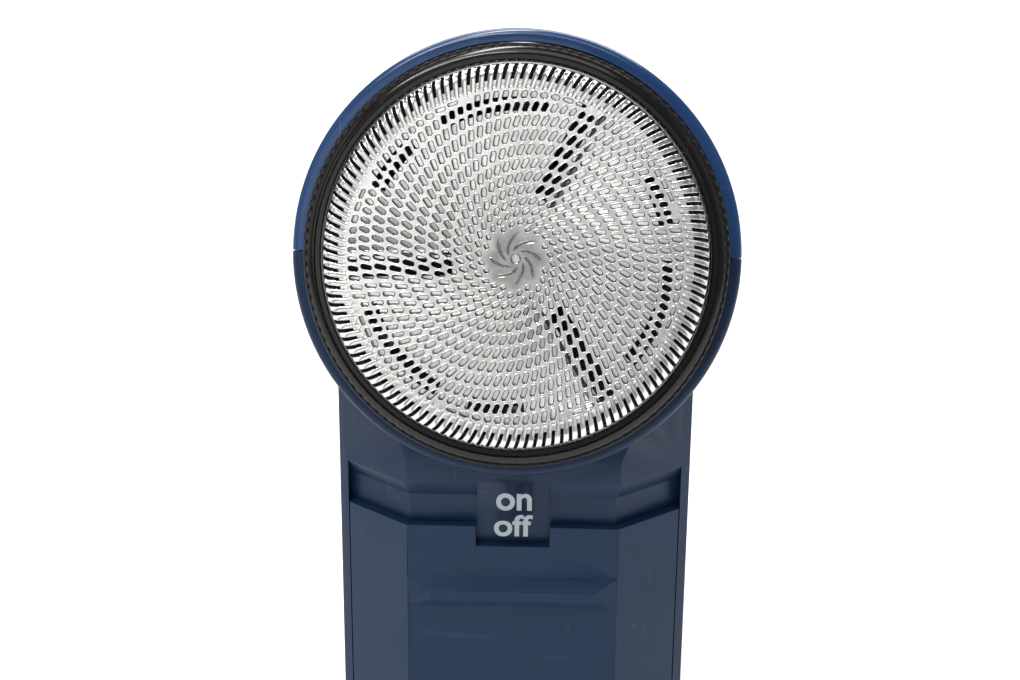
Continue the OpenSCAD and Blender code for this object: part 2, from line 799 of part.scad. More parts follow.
module battery_door() {
  color(navy) difference() {
    union() {
      translate([-door_half_w, half_d - door_t, door_low])
        cube([2 * door_half_w, door_t, door_high - door_low]);
      for (x = [-9, 9]) translate([x - 2, half_d - door_t - 0.6, door_low]) cube([4, 1, 6]);
    }
    for (i = [0 : 4]) translate([-6, half_d - 0.4, door_high - 12 + 2 * i]) cube([12, 1, 0.8]);
  }
}

module wire_battery() {
  color("red") rod([[-cell_x, cell_y - 0.9, tray_lid + 1.1], [-cell_x + 0.4, 2, tray_lid + 1.3],
    [-cell_x + 1, wire_y + 3.2, tray_lid + 1.6], [-5.8, wire_y + 0.6, tray_lid + 1],
    [-4.6, wire_y, tray_lid - 2], [-3, wire_y, switch_z + 8], [-1.2, wire_y + 0.1, switch_z + 6.3]], wire_r, [1, 0.3, 0.1]);
}

module wire_switch() {
  color("red") rod([[1.2, wire_y + 0.1, switch_z], [3.4, wire_y, switch_z + 3], [5.4, wire_y, tray_lid - 4],
    [6.6, wire_y + 0.2, tray_lid + 0.4], [7.4, wire_y + 2.8, tray_lid + 5.8], head_point([7, -20, -20]),
    head_point([6, -13, -25]), head_point([5, -9, -27.3]), head_point([4, -6.3, -27.3])],
    wire_r, [1, 0.3, 0.1]);
}

module wire_return() {
  color("black") rod([[cell_x, cell_y - 0.9, tray_lid + 1.1], [cell_x - 1, 2.4, tray_lid + 2.4], [2, 4, 70],
    head_point([-3, -16, -23]), head_point([-4, -11, -27]),
      head_point([-4, -6.3, -27.3])], wire_r, [1, 0, 0.6]);
}

front_housing();
rear_housing();
housing_screws();
lint_container();
motor_cover();
cutter_cup();
cup_screws();
retaining_ring();
foil();
blade_carrier();
one_blade(0);  // blade_1
one_blade(1);  // blade_2
one_blade(2);  // blade_3
rotor_hub();
motor_shaft();
motor_can();
motor_end_cap();
motor_terminals();
motor_screws();
thumb_slider();
switch_body();
switch_lever();
switch_terminals();
switch_screws();
battery_tray();
cell_left();
cell_right();
positive_contact();
negative_contact();
bridge_contact();
battery_door();
wire_battery();
wire_switch();
wire_return();
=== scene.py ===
# %% [markdown]
# # A battery fabric shaver
# A fabric shaver is a round head with a perforated steel foil, on a handle that holds two cells and a
# thumb slider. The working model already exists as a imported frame: every part, size and joint is there.
# This notebook dresses that frame. It loads it, sets up a small studio, then goes piece by piece:
# the foil, its ring, the housing, the slider, and the finish of everything that stays as it is.

# %% Load the frame
import json
import math

import bmesh
import bpy
from mathutils import Matrix, Vector
from mathutils.geometry import delaunay_2d_cdt


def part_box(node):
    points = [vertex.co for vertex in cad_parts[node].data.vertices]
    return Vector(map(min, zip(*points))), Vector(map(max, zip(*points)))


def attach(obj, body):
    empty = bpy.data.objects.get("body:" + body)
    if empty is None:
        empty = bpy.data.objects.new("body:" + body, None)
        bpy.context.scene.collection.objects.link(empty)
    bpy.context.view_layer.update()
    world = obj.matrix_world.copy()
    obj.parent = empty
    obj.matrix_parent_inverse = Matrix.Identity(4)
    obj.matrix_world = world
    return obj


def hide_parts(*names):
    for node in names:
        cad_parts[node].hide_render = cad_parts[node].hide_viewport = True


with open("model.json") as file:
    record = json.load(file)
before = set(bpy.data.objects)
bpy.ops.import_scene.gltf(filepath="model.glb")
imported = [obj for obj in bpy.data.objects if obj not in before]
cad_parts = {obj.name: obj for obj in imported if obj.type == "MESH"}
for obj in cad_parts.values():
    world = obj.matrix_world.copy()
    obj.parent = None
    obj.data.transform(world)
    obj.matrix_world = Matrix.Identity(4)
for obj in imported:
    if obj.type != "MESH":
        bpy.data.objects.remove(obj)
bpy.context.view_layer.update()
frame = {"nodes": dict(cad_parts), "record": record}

MM = 0.001
joints = {j["name"]: j for j in frame["record"]["behaviour"]["joints"]}
print("nodes in the frame:", len(frame["nodes"]))

# %% [markdown]
# ## The head's own frame
# The head leans back on the handle, so its round parts are easiest to draw as if they lay flat, with the
# head's axis pointing up. One matrix then puts them in place. The joints of the frame say where that
# axis is: the rotor spins about it, and the lint container slides off square to it.

# %% Head frame
head_centre = Vector(joints["rotor_spin"]["pos_m"])
head_out = Vector(joints["rotor_spin"]["axis"]).normalized()
head_up = Vector(joints["container_pull"]["axis"]).normalized()
head_side = head_up.cross(head_out)
HEAD = Matrix((head_side, head_up, head_out)).transposed().to_4x4()
HEAD.translation = head_centre


def head_reach(node_name):
    """Lowest and highest level along the head's axis, and the largest radius, of one node."""
    to_head = HEAD.inverted()
    points = [to_head @ v.co for v in frame["nodes"][node_name].data.vertices]
    return min(p.z for p in points), max(p.z for p in points), max(p.xy.length for p in points)


foil_low, foil_top, flange_r = head_reach("foil")
ring_low, ring_top, ring_r = head_reach("retaining_ring")
print("foil top %.2f mm, ring radius %.2f mm" % (foil_top / MM, ring_r / MM))

# %% [markdown]
# ## Camera
# A long lens close by, looking down at the head from above the handle's front. The camera is set from
# the head's centre: how far away it is, how steeply it looks down, and how far to one side of the picture's
# middle the head sits.

# %% Camera
LENS_MM = 84.7
SENSOR_MM = 36.0
DISTANCE = 362 * MM
LOOK_DOWN = math.radians(25)
LOOK_SIDE = math.radians(1.5)
ROLL = math.radians(0.5)
HEAD_RIGHT = 1.0 * MM
HEAD_ABOVE = 12.84 * MM

camera_data = bpy.data.cameras.new("camera")
camera_data.lens = LENS_MM
camera_data.sensor_width = SENSOR_MM
camera_data.clip_start = 0.01
camera = bpy.data.objects.new("camera", camera_data)
bpy.context.scene.collection.objects.link(camera)
look = Matrix.Rotation(LOOK_SIDE, 4, "Z") @ Matrix.Rotation(math.pi / 2 - LOOK_DOWN, 4, "X")
look = look @ Matrix.Rotation(ROLL, 4, "Z")
camera.matrix_world = Matrix.Translation(head_centre) @ look @ Matrix.Translation(
    (-HEAD_RIGHT, -HEAD_ABOVE, DISTANCE))
bpy.context.scene.camera = camera
print("camera at", [round(c, 3) for c in camera.matrix_world.translation])

# %% [markdown]
# ## Studio
# A pale floor that runs up into a pale backdrop, a bright even sky, and big soft lights. Big lights make
# the long soft highlights that moulded plastic and a polished foil need. Two narrow strips are there for
# thin bright lines along the ring and the rim.

# %% Floor and backdrop
FLOOR_HALF = 3.0
SWEEP_Y = 1.6
SWEEP_R = 0.5
WALL_TOP = 3.0

bm = bmesh.new()
edge = [bm.verts.new((-FLOOR_HALF, -FLOOR_HALF, 0)), bm.verts.new((-FLOOR_HALF, SWEEP_Y, 0))]
bm.edges.new(edge)
bend = bmesh.ops.spin(bm, geom=[edge[1]], cent=(0, SWEEP_Y, SWEEP_R), axis=(1, 0, 0),
                      angle=math.pi / 2, steps=16, use_merge=False, use_duplicate=False)
bend_end = [g for g in bend["geom_last"] if isinstance(g, bmesh.types.BMVert)][0]
wall_end = bm.verts.new((-FLOOR_HALF, bend_end.co.y, WALL_TOP))
bm.edges.new((bend_end, wall_end))
strip = bmesh.ops.extrude_edge_only(bm, edges=bm.edges[:])
moved = [g for g in strip["geom"] if isinstance(g, bmesh.types.BMVert)]
bmesh.ops.translate(bm, verts=moved, vec=(2 * FLOOR_HALF, 0, 0))
bmesh.ops.recalc_face_normals(bm, faces=bm.faces[:])
floor_mesh = bpy.data.meshes.new("floor")
bm.to_mesh(floor_mesh)
bm.free()
floor_mesh.shade_smooth()
floor = bpy.data.objects.new("floor", floor_mesh)
bpy.context.scene.collection.objects.link(floor)

FLOOR_COLOUR = (0.9, 0.9, 0.9, 1)
FLOOR_ROUGH = 0.9
FLOOR_SHINE = 0.1
floor_paint = bpy.data.materials.new("studio_floor")
floor_paint.use_nodes = True
floor_shader = floor_paint.node_tree.nodes["Principled BSDF"]
floor_shader.inputs["Base Color"].default_value = FLOOR_COLOUR
floor_shader.inputs["Roughness"].default_value = FLOOR_ROUGH
floor_shader.inputs["Specular IOR Level"].default_value = FLOOR_SHINE
floor_mesh.materials.append(floor_paint)

# %% Lights
def soft_light(name, place, aim, size, watts):
    """A rectangular area light at one place, turned to face another."""
    data = bpy.data.lights.new(name, "AREA")
    data.shape = "RECTANGLE"
    data.size, data.size_y = size
    data.energy = watts
    light = bpy.data.objects.new(name, data)
    turn = (Vector(aim) - Vector(place)).to_track_quat("-Z", "Y").to_matrix().to_4x4()
    light.matrix_world = Matrix.Translation(place) @ turn
    bpy.context.scene.collection.objects.link(light)
    return light


AIM = tuple(head_centre)
soft_light("top_light", (-0.1, -0.42, 1.05), AIM, (1.0, 0.45), 3.0)
soft_light("strip_light", (-0.1, 0.05, 0.95), AIM, (0.5, 0.1), 4.6)
soft_light("ring_light", (-0.32, -0.46, 0.95), AIM, (0.7, 0.06), 3.4)
soft_light("front_light", (-0.45, -1.2, 0.55), AIM, (1.1, 0.5), 2.0)
soft_light("left_light", (-1.1, -0.35, 0.5), AIM, (0.5, 0.9), 1.0)
soft_light("right_light", (1.1, -0.35, 0.5), AIM, (0.5, 0.9), 0.45)
soft_light("back_light", (0, 1.2, 1.3), (0, 0.9, 0), (2.0, 0.8), 30)

SKY_COLOUR = (0.95, 0.97, 1.0, 1)
SKY_STRENGTH = 0.22
world = bpy.data.worlds.new("studio")
world.use_nodes = True
world.node_tree.nodes["Background"].inputs["Color"].default_value = SKY_COLOUR
world.node_tree.nodes["Background"].inputs["Strength"].default_value = SKY_STRENGTH
bpy.context.scene.world = world
bpy.context.scene.view_settings.view_transform = "Standard"

# %% [markdown]
# ## Shared effects
# Real surfaces are never one even colour. Four small node groups give the finishes their detail, each
# with named inputs so that one group serves plastic, steel and brass at different strengths:
# a fine grain for moulded skins, drawn lines for worked metal, faint smudges, and fine scuffs.

# %% Node helpers
def add(tree, kind, **settings):
    """A node of one kind, with its properties set by name."""
    made = tree.nodes.new(kind)
    for key, value in settings.items():
        setattr(made, key, value)
    return made


def effect(name, inputs, outputs):
    """An empty node group with named sockets; inputs give a type and a starting value."""
    tree = bpy.data.node_groups.new(name, "ShaderNodeTree")
    for label, (kind, value) in inputs.items():
        socket = tree.interface.new_socket(label, in_out="INPUT", socket_type=kind)
        if value is not None:
            socket.default_value = value
    for label, kind in outputs.items():
        tree.interface.new_socket(label, in_out="OUTPUT", socket_type=kind)
    return tree, add(tree, "NodeGroupInput"), add(tree, "NodeGroupOutput")


FLOAT, VECTOR = "NodeSocketFloat", "NodeSocketVector"


def math_node(tree, operation, first, second=None):
    """A math node fed by sockets or plain numbers."""
    made = add(tree, "ShaderNodeMath", operation=operation)
    for slot, value in zip(made.inputs, (first, second)):
        if hasattr(value, "links"):
            tree.links.new(value, slot)
        elif value is not None:
            slot.default_value = value
    return made.outputs[0]


# %% Grain, drawn lines, smudges and scuffs
def grain_group():
    """Fine bumps of a moulded skin: two sizes of noise mixed into one height."""
    tree, given, out = effect("moulded_grain", {"Vector": (VECTOR, None), "Scale": (FLOAT, 2500.0)},
                              {"Height": FLOAT, "Mottle": FLOAT})
    fine = add(tree, "ShaderNodeTexNoise")
    fine.inputs["Detail"].default_value = 3.0
    broad = add(tree, "ShaderNodeTexNoise")
    broad.inputs["Detail"].default_value = 2.0
    tree.links.new(given.outputs["Vector"], fine.inputs["Vector"])
    tree.links.new(given.outputs["Scale"], fine.inputs["Scale"])
    tree.links.new(given.outputs["Vector"], broad.inputs["Vector"])
    tree.links.new(math_node(tree, "MULTIPLY", given.outputs["Scale"], 0.05), broad.inputs["Scale"])
    tree.links.new(fine.outputs["Fac"], out.inputs["Height"])
    tree.links.new(broad.outputs["Fac"], out.inputs["Mottle"])
    return tree


def lines_group():
    """Drawn lines of worked metal: noise stretched along one direction."""
    tree, given, out = effect("drawn_lines", {"Vector": (VECTOR, None), "Scale": (FLOAT, 300.0),
                                              "Stretch": (VECTOR, (1.0, 1.0, 0.03))},
                              {"Height": FLOAT, "Streak": FLOAT})
    squeeze = add(tree, "ShaderNodeVectorMath", operation="MULTIPLY")
    tree.links.new(given.outputs["Vector"], squeeze.inputs[0])
    tree.links.new(given.outputs["Stretch"], squeeze.inputs[1])
    noise = add(tree, "ShaderNodeTexNoise")
    noise.inputs["Detail"].default_value = 6.0
    tree.links.new(squeeze.outputs[0], noise.inputs["Vector"])
    tree.links.new(given.outputs["Scale"], noise.inputs["Scale"])
    ramp = add(tree, "ShaderNodeMapRange")
    ramp.inputs["From Min"].default_value = 0.35
    ramp.inputs["From Max"].default_value = 0.65
    tree.links.new(noise.outputs["Fac"], ramp.inputs["Value"])
    tree.links.new(noise.outputs["Fac"], out.inputs["Height"])
    tree.links.new(ramp.outputs["Result"], out.inputs["Streak"])
    return tree


def smudge_group():
    """Faint patches left by fingers and cloth: soft noise with a threshold."""
    tree, given, out = effect("smudges", {"Vector": (VECTOR, None), "Scale": (FLOAT, 45.0)}, {"Mask": FLOAT})
    noise = add(tree, "ShaderNodeTexNoise")
    noise.inputs["Detail"].default_value = 5.0
    noise.inputs["Distortion"].default_value = 0.6
    tree.links.new(given.outputs["Vector"], noise.inputs["Vector"])
    tree.links.new(given.outputs["Scale"], noise.inputs["Scale"])
    ramp = add(tree, "ShaderNodeMapRange")
    ramp.inputs["From Min"].default_value = 0.45
    ramp.inputs["From Max"].default_value = 0.75
    tree.links.new(noise.outputs["Fac"], ramp.inputs["Value"])
    tree.links.new(ramp.outputs["Result"], out.inputs["Mask"])
    return tree


def scuff_group():
    """Short fine scratches in two directions: stretched noise, of which only the peaks show."""
    tree, given, out = effect("scuffs", {"Vector": (VECTOR, None), "Amount": (FLOAT, 0.5)}, {"Mask": FLOAT})
    strokes = []
    for stretch in ((60.0, 900.0, 500.0), (1100.0, 500.0, 80.0)):
        squeeze = add(tree, "ShaderNodeVectorMath", operation="MULTIPLY")
        squeeze.inputs[1].default_value = stretch
        tree.links.new(given.outputs["Vector"], squeeze.inputs[0])
        noise = add(tree, "ShaderNodeTexNoise")
        noise.inputs["Scale"].default_value = 1.0
        noise.inputs["Detail"].default_value = 2.0
        tree.links.new(squeeze.outputs[0], noise.inputs["Vector"])
        ramp = add(tree, "ShaderNodeMapRange")
        ramp.inputs["From Min"].default_value = 0.68
        ramp.inputs["From Max"].default_value = 0.8
        tree.links.new(noise.outputs["Fac"], ramp.inputs["Value"])
        strokes.append(ramp.outputs["Result"])
    both = math_node(tree, "MAXIMUM", *strokes)
    tree.links.new(math_node(tree, "MULTIPLY", both, given.outputs["Amount"]), out.inputs["Mask"])
    return tree


GRAIN, LINES, SMUDGES, SCUFFS = grain_group(), lines_group(), smudge_group(), scuff_group()
print("effects:", [g.name for g in (GRAIN, LINES, SMUDGES, SCUFFS)])

# %% [markdown]
# ## Finishes
# Two recipes cover nearly everything. Plastic gets grain, smudges and fine scuffs, and on the container
# and the ring a clear coat;
# metal gets drawn lines. Each finish is then one call with its own colours and strengths.

# %% Plastic and metal recipes
BUMP_DEPTH = 0.00002
COAT_ROUGH = 0.12


def blank(name):
    """A new material with its shader, its object coordinates and its tree."""
    paint = bpy.data.materials.new(name)
    paint.use_nodes = True
    tree = paint.node_tree
    shader = tree.nodes["Principled BSDF"]
    where = add(tree, "ShaderNodeTexCoord").outputs["Object"]
    return paint, tree, shader, where


def place_effect(tree, group, where, **values):
    """One of the shared effects inside a material, with its own values."""
    made = add(tree, "ShaderNodeGroup", node_tree=group)
    tree.links.new(where, made.inputs["Vector"])
    for key, value in values.items():
        made.inputs[key].default_value = value
    return made


def mix_colour(tree, factor, first, second):
    """Blends two colours; each may be a socket or a plain colour."""
    made = add(tree, "ShaderNodeMix", data_type="RGBA")
    tree.links.new(factor, made.inputs["Factor"])
    for slot, value in ((made.inputs["A"], first), (made.inputs["B"], second)):
        if hasattr(value, "links"):
            tree.links.new(value, slot)
        else:
            slot.default_value = (*value, 1)
    return made.outputs["Result"]


def range_node(tree, value, low, high):
    """Spreads a 0 to 1 value over another range."""
    made = add(tree, "ShaderNodeMapRange")
    made.inputs["To Min"].default_value = low
    made.inputs["To Max"].default_value = high
    tree.links.new(value, made.inputs["Value"])
    return made.outputs["Result"]


def bump(tree, shader, height, strength):
    """Feeds a height into the shader's normal."""
    made = add(tree, "ShaderNodeBump")
    made.inputs["Strength"].default_value = strength
    made.inputs["Distance"].default_value = BUMP_DEPTH
    tree.links.new(height, made.inputs["Height"])
    tree.links.new(made.outputs["Normal"], shader.inputs["Normal"])


def plastic(name, colour, pale, rough=(0.3, 0.42), grain=2500.0, strength=0.12, coat=0.0, shine=0.5):
    """Moulded plastic: even colour with a slight mottle, fine grain, smudges and fine scuffs."""
    paint, tree, shader, where = blank(name)
    skin = place_effect(tree, GRAIN, where, Scale=grain)
    marks = place_effect(tree, SMUDGES, where)
    scuffs = place_effect(tree, SCUFFS, where)
    tone = mix_colour(tree, skin.outputs["Mottle"], [c * 0.94 for c in colour], [c * 1.06 for c in colour])
    tree.links.new(mix_colour(tree, scuffs.outputs["Mask"], tone, pale), shader.inputs["Base Color"])
    tree.links.new(range_node(tree, marks.outputs["Mask"], *rough), shader.inputs["Roughness"])
    shader.inputs["Coat Weight"].default_value = coat
    shader.inputs["Specular IOR Level"].default_value = shine
    shader.inputs["Coat Roughness"].default_value = COAT_ROUGH
    bump(tree, shader, skin.outputs["Height"], strength)
    return paint


def metal(name, colour, dark, rough=(0.18, 0.34), scale=300.0, stretch=(1.0, 1.0, 0.03), strength=0.1,
          shade=None):
    """Worked metal: streaks of slightly different tone and gloss along the drawing direction. Shade names
    an attribute of the mesh that holds painted shade: how far the colour is darkened towards a dark grey."""
    paint, tree, shader, where = blank(name)
    lines = place_effect(tree, LINES, where, Scale=scale, Stretch=stretch)
    marks = place_effect(tree, SMUDGES, where)
    tone = mix_colour(tree, lines.outputs["Streak"], dark, colour)
    tone = mix_colour(tree, marks.outputs["Mask"], tone, dark)
    # Painted shade: the mesh attribute darkens the colour towards a dark grey where shade falls.
    if shade:
        painted_shade = add(tree, "ShaderNodeAttribute", attribute_name=shade)
        tone = mix_colour(tree, painted_shade.outputs["Fac"], tone, PAINTED_SHADE_GREY)
    tree.links.new(tone, shader.inputs["Base Color"])
    tree.links.new(range_node(tree, lines.outputs["Streak"], *rough), shader.inputs["Roughness"])
    shader.inputs["Metallic"].default_value = 1.0
    bump(tree, shader, lines.outputs["Height"], strength)
    return paint


# %% The finishes themselves
# The dark grey of painted shade on the foil: hole edges, rib sides, and the sheet towards the middle.
PAINTED_SHADE_GREY = (0.11, 0.105, 0.1)
FINISH = {
    "housing": plastic("navy_shell", (0.0075, 0.023, 0.058), (0.035, 0.06, 0.10), rough=(0.34, 0.46),
                       strength=0.2, shine=0.24),
    "slider": plastic("navy_slider", (0.0065, 0.025, 0.064), (0.025, 0.05, 0.09), rough=(0.36, 0.48),
                      strength=0.22, shine=0.22),
    "container": plastic("blue_container", (0.008, 0.042, 0.135), (0.04, 0.10, 0.20), rough=(0.2, 0.3),
                         coat=0.25, shine=0.4),
    "inner_plastic": plastic("inner_black", (0.018, 0.018, 0.02), (0.05, 0.05, 0.05), rough=(0.5, 0.65)),
    "ring": plastic("ring_black", (0.006, 0.0055, 0.005), (0.03, 0.03, 0.03), rough=(0.12, 0.2),
                    strength=0.04, coat=0.12, shine=0.32),
    # The foil's colour carries painted shade from its mesh attribute edge.
    "foil": metal("foil_steel_painted_shade", (0.88, 0.87, 0.85), (0.74, 0.73, 0.71), rough=(0.16, 0.3), scale=500.0,
                  stretch=(1.0, 1.0, 1.0), strength=0.08, shade="edge"),
    "carrier": metal("satin_disc", (0.98, 0.97, 0.95), (0.86, 0.85, 0.83), rough=(0.2, 0.34), scale=700.0,
                     stretch=(0.04, 1.0, 1.0)),
    "blade": metal("ground_steel", (0.55, 0.55, 0.56), (0.35, 0.35, 0.36), rough=(0.2, 0.4), scale=600.0),
    "steel": metal("plated_steel", (0.66, 0.66, 0.68), (0.42, 0.42, 0.44), rough=(0.16, 0.3)),
    "motor": metal("motor_can", (0.60, 0.60, 0.61), (0.40, 0.40, 0.41), rough=(0.24, 0.4)),
    "cream_plastic": plastic("cream_plastic", (0.72, 0.68, 0.56), (0.8, 0.78, 0.7), rough=(0.4, 0.55)),
    "brass": metal("brass", (0.78, 0.60, 0.26), (0.55, 0.40, 0.16), rough=(0.2, 0.36)),
    "cell": metal("cell_sleeve", (0.46, 0.34, 0.14), (0.30, 0.22, 0.09), rough=(0.3, 0.42)),
    "contact": metal("nickel_contact", (0.70, 0.69, 0.66), (0.46, 0.45, 0.43), rough=(0.16, 0.32)),
    "red_wire": plastic("red_insulation", (0.42, 0.02, 0.02), (0.5, 0.1, 0.1), rough=(0.4, 0.5)),
    "black_wire": plastic("black_insulation", (0.02, 0.02, 0.02), (0.06, 0.06, 0.06), rough=(0.4, 0.5)),
}
SLOT_OF = {s["node"]: s["material_slot"] for s in frame["record"]["subparts"]}
for node_name, node_object in frame["nodes"].items():
    node_object.data.materials.clear()
    node_object.data.materials.append(FINISH[SLOT_OF[node_name]])
print("finishes:", len(FINISH))

# %% [markdown]
# ## Turning a bmesh into a finished piece
# Every new piece ends the same way: doubles merged, normals outward, put in place by a matrix, smooth
# except at true corners, given its finish, and tied to the body that it moves with.

# %% Finish a piece
BODY_OF = {node: body for body, nodes in frame["record"]["behaviour"]["bodies"].items() for node in nodes}
CORNER = math.radians(35)


def make_piece(bm, name, node, place=Matrix(), corner=CORNER, stands_for=True, outward=None):
    """A mesh object from a bmesh, finished and riding like the frame node it belongs to. An open sheet
    has no inside, so outward says which way its faces look at each place."""
    bmesh.ops.remove_doubles(bm, verts=bm.verts[:], dist=0.0005 * MM)
    bmesh.ops.recalc_face_normals(bm, faces=bm.faces[:])
    if outward:
        wrong = [f for f in bm.faces if f.normal.dot(outward(f.calc_center_median())) < 0]
        bmesh.ops.reverse_faces(bm, faces=wrong)
    bmesh.ops.transform(bm, matrix=place, verts=bm.verts[:])
    mesh = bpy.data.meshes.new(name)
    bm.to_mesh(mesh)
    bm.free()
    mesh.shade_smooth()
    mesh.set_sharp_from_angle(angle=corner)
    mesh.materials.append(FINISH[SLOT_OF[node]])
    piece = bpy.data.objects.new(name, mesh)
    bpy.context.scene.collection.objects.link(piece)
    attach(piece, BODY_OF[node])
    if stands_for:
        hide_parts(node)
    print(name, len(mesh.polygons), "faces")
    return piece


# %% [markdown]
# ## The foil: where its openings go
# The foil's face carries eight rows of openings that spiral inwards. Measured in sectors of 45 degrees
# from a row's start, its radius falls by about 2.25 mm a sector and eases off near the middle.
# A row starts with a wide short opening and settles into long leaning ones. Working this out as a few
# formulas keeps the pattern exact, and every opening leaves a web of metal to its neighbours.

# %% Rows of openings
ROWS = 8
ROW_START = 23.0
SECTOR = 360 / ROWS
ROW_DROP = 2.25
WEB = 0.34
PITCH = 1.4
SIDE_WEB = 0.37
FACE_LIMIT = 24.95
ROW_END = 11.15
MEETS_NEXT = 0.88
ROW_OUT, ROW_EASE = 25.7, 6
START_DIP, DIP_FADE = 1.1, 0.45
LEAN_MOST, LEAN_LEAST, LEAN_GAIN, LEAN_FROM = 40.0, 8, 215, 0.4
SETTLED_W, START_W, START_FADE = 0.84, 0.8, 0.3
START_LENGTH, LENGTH_GAIN, LENGTH_POWER = 0.68, 1.7, 0.8


def row_radius(t):
    """Radius in mm of a row, t sectors after its start."""
    eased = ROW_EASE * math.log(1 + math.exp((ROW_OUT - ROW_DROP * t) / ROW_EASE))
    return eased - START_DIP * math.exp(-t / DIP_FADE)


def opening_lean(t):
    """Lean in degrees of an opening from the radius; its inner end runs ahead."""
    return min(LEAN_MOST, LEAN_LEAST + LEAN_GAIN / row_radius(t)) * min(1.0, t / LEAN_FROM)


def opening_width(t):
    """Width in mm across an opening: wide at the row's start, then what the pitch and the lean leave."""
    settled = min(SETTLED_W, PITCH * math.cos(math.radians(opening_lean(t))) - SIDE_WEB)
    return settled + START_W * math.exp(-(t / START_FADE) ** 2)


def opening_ends(t):
    """Inner and outer radius in mm of an opening."""
    between = (row_radius(t) + row_radius(t + 1)) / 2 + WEB / 2
    if t < MEETS_NEXT:
        half = (START_LENGTH + LENGTH_GAIN * t ** LENGTH_POWER) / 2
        return max(between, row_radius(t) - half), min(FACE_LIMIT, row_radius(t) + half)
    return between, (row_radius(max(0.0, t - 1)) + row_radius(t)) / 2 - WEB / 2


steps = []
t = 0.0
while t < ROW_END:
    steps.append(t)
    t += max(PITCH, opening_width(t) + SIDE_WEB) / row_radius(t) * math.degrees(1) / SECTOR
print("openings in a row:", len(steps), "in all:", len(steps) * ROWS)

# %% [markdown]
# ## The foil: one raised opening
# Each opening has a rounded bright rim, pressed up when the sheet is punched. A small template of four
# rings does it: the foot where the rim leaves the sheet, its crest, the edge of the hole, and the foot of
# its etched bevel. Each ring also carries painted shade: the edge and the bevel are painted dark, and the
# crest keeps the foil's colour. Placing it means spreading the rings into an obround and turning them, so
# one template serves every opening.

# %% Template rings
RING_SIDES = 12
RIM_FOOT = 0.1 * MM
RIM_CREST = 0.045 * MM
RIM_RISE = 0.035 * MM
EDGE_IN = 0.09 * MM
EDGE_DROP = 0.09 * MM
# Painted shade of the sheet at the very middle; it fades to none at the face's edge.
SHEET_SHADE = 0.62


def ring_template(levels, closed):
    """Rings one inside the next. Levels give each ring's distance outside the hole, its height and how
    dark it is painted, as painted shade."""
    bm = bmesh.new()
    loops = []
    for index in range(len(levels)):
        made = bmesh.ops.create_circle(bm, cap_ends=False, segments=RING_SIDES, radius=1.0)
        turn = Matrix.Rotation(math.pi / RING_SIDES, 3, "Z")
        bmesh.ops.rotate(bm, verts=made["verts"], cent=(0, 0, 0), matrix=turn)
        bmesh.ops.translate(bm, verts=made["verts"], vec=(0, 0, index))
        loops.append(made["verts"])
    for outer, inner in zip(loops, loops[1:]):
        both = set(outer) | set(inner)
        edges = [e for e in bm.edges if set(e.verts) <= both and
                 e.verts[0].co.z == e.verts[1].co.z]
        bmesh.ops.bridge_loops(bm, edges=edges)
    if closed:
        cap = [e for e in bm.edges if set(e.verts) <= set(loops[-1])]
        bmesh.ops.holes_fill(bm, edges=cap, sides=RING_SIDES)
    mesh = bpy.data.meshes.new("ring_template")
    bm.to_mesh(mesh)
    bm.free()
    return mesh


def stamp(bm, template, levels, centre, turn, length, width):
    """Adds one template to a bmesh as an obround of a length and width, at a centre and turned."""
    first = len(bm.verts)
    bm.from_mesh(template)
    bm.verts.ensure_lookup_table()
    number = first + 1
    cap = min(length, width) / 2
    along = max(0.0, (length - width) / 2)
    across = max(0.0, (width - length) / 2)
    turned = Matrix.Rotation(turn, 2)
    for vert in bm.verts[first:]:
        level = int(round(vert.co.z))
        # The third value of a level is painted shade; at a rim's foot the sheet is painted darker towards the
        # middle.
        outside, height, vert[painted_shade] = levels[level]
        if level == 0:
            vert[painted_shade] = SHEET_SHADE * max(0.0, 1 - centre.length / (FACE_LIMIT * MM)) ** 2
        vert[stamped] = number
        flat = vert.co.xy * (cap + outside)
        flat += Vector((math.copysign(along, vert.co.x), math.copysign(across, vert.co.y)))
        flat = turned @ flat + centre
        vert.co = (flat.x, flat.y, height)


# Painted shade per ring: none at the foot and crest, dark at the hole's edge and its bevel.
OPEN_LEVELS = [(RIM_FOOT, 0.0, 0.0), (RIM_CREST, RIM_RISE, 0.0), (0.0, 0.0, 0.9), (-EDGE_IN, -EDGE_DROP, 1.0)]
open_template = ring_template(OPEN_LEVELS, closed=False)
foil = bmesh.new()
# The mesh attribute edge holds painted shade: 0 leaves the foil's colour, 1 paints it the dark grey.
painted_shade = foil.verts.layers.float.new("edge")
stamped = foil.verts.layers.int.new("stamped")
for row in range(ROWS):
    for t in steps:
        inner, outer = opening_ends(t)
        lean = math.radians(opening_lean(t))
        angle = math.radians(ROW_START + SECTOR * (row + t))
        middle = (inner + outer) / 2 * MM
        centre = Vector((middle * math.cos(angle), middle * math.sin(angle)))
        width = opening_width(t)
        length = (outer - inner - min(width, outer - inner)) / math.cos(lean) + min(width, outer - inner)
        stamp(foil, open_template, OPEN_LEVELS, centre, angle - lean, length * MM, width * MM)
print("vertices after the openings:", len(foil.verts))

# %% [markdown]
# ## The foil: the boss and swirl in the middle
# The very middle has no openings. It is stiffened by a small round boss and eight curved ribs pressed
# into the sheet. The boss uses the same stamp with a closed top; the ribs are small curved grids.

